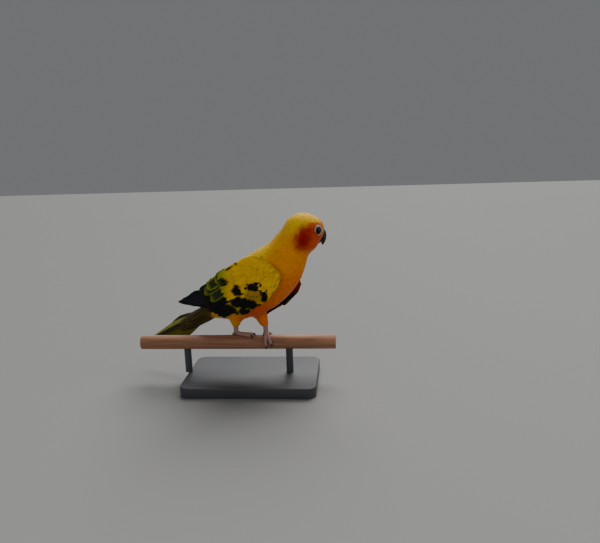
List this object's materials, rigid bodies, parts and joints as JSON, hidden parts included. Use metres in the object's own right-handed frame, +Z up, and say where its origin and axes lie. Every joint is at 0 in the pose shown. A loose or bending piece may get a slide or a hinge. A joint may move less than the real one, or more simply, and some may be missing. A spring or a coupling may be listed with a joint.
{
  "type": "sun conure",
  "caption": "Life-size still model of a small golden-orange parrot with green wing feathers and a long tail, standing along a cut length of dowel on a plain display stand",
  "frame": {"origin": "centre of the stand base's flat underside", "axes": "+X along the perch, the way the bird faces; +Y to the far side of the perch; +Z up"},
  "size_m": [0.2411, 0.096, 0.1972],
  "materials": {
    "coat_head": "soft feathers, orange-red face under a yellow crown",
    "coat_neck": "soft feathers, golden yellow",
    "coat_torso": "soft feathers, golden orange",
    "coat_wing": "vaned feathers, yellow coverts over green-black flight feathers",
    "coat_tail": "vaned feathers, olive with dark shafts",
    "coat_thigh": "soft feathers, orange-yellow",
    "bill": "black horn, satin",
    "eye": "wet, near black",
    "foot_skin": "scaly skin, pinkish grey, with dark claws",
    "perch_wood": "plain sanded",
    "stand_paint": "satin paint",
    "rod_paint": "satin paint"
  },
  "bodies": {
    "root": {"head": "coat_head", "neck": "coat_neck", "torso": "coat_torso", "tail": "coat_tail", "bill_upper": "bill", "bill_lower": "bill", "eye_left": "eye", "eye_right": "eye", "wing_left": "coat_wing", "wing_right": "coat_wing", "thigh_left": "coat_thigh", "thigh_right": "coat_thigh", "foot_left": "foot_skin", "foot_right": "foot_skin", "perch": "perch_wood", "stand_base": "stand_paint", "stand_rod_front": "rod_paint", "stand_rod_rear": "rod_paint"}
  },
  "joints": []
}
